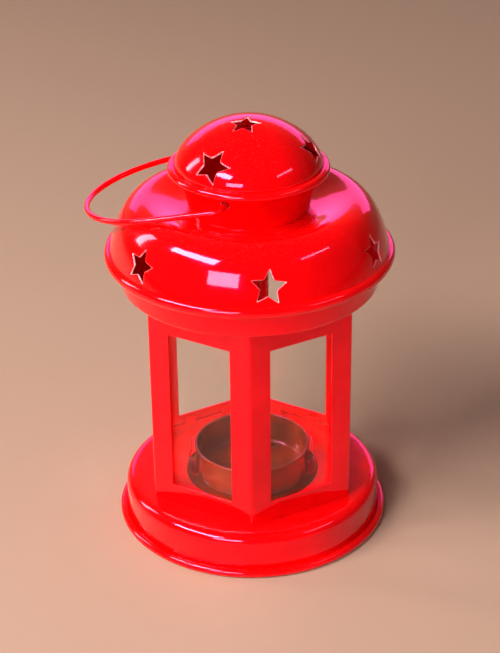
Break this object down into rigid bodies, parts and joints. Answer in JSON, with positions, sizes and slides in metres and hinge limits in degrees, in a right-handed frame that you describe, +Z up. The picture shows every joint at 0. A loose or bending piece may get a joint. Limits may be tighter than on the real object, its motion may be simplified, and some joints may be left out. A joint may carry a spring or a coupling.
{
  "type": "tealight lantern",
  "caption": "Hexagonal sheet-metal candle lantern with glass panes, a domed roof with star cut-outs, a wire bail and a candle cup that pulls down out of the base.",
  "frame": {"origin": "on the lantern's axis, at the plane that the base stands on", "axes": "+Z up along the lantern's axis; -Y through the front corner of the hexagonal body"},
  "size_m": [0.1097, 0.1026, 0.1558],
  "materials": {
    "base_lacquer": "high gloss",
    "body_lacquer": "high gloss",
    "roof_lacquer": "high gloss",
    "wire_lacquer": "gloss",
    "tray_lacquer": "gloss",
    "clip_lacquer": "gloss",
    "clear_glass": "clear"
  },
  "bodies": {
    "lantern": {"base_dish": "base_lacquer", "body_frame": "body_lacquer", "glass_pane_1": "clear_glass", "glass_pane_2": "clear_glass", "glass_pane_3": "clear_glass", "glass_pane_4": "clear_glass", "glass_pane_5": "clear_glass", "glass_pane_6": "clear_glass", "roof_skirt": "roof_lacquer", "roof_dome": "roof_lacquer", "neck_collar": "roof_lacquer", "top_cap": "roof_lacquer"},
    "bail": {"bail_handle": "wire_lacquer"},
    "candle_tray": {"tray_plate": "tray_lacquer", "candle_cup": "tray_lacquer", "spring_clip_right": "clip_lacquer", "spring_clip_left": "clip_lacquer"}
  },
  "joints": [
    {"name": "bail_swing", "type": "hinge", "parent": "lantern", "child": "bail", "pos_m": [0, 0, 0.1332], "axis": [0.3379, 0.9412, 0], "range_deg": [0, 205.6]},
    {"name": "tray_pull", "type": "slide", "parent": "lantern", "child": "candle_tray", "axis": [0, 0, -1], "range_m": [0, 0.045]}
  ]
}
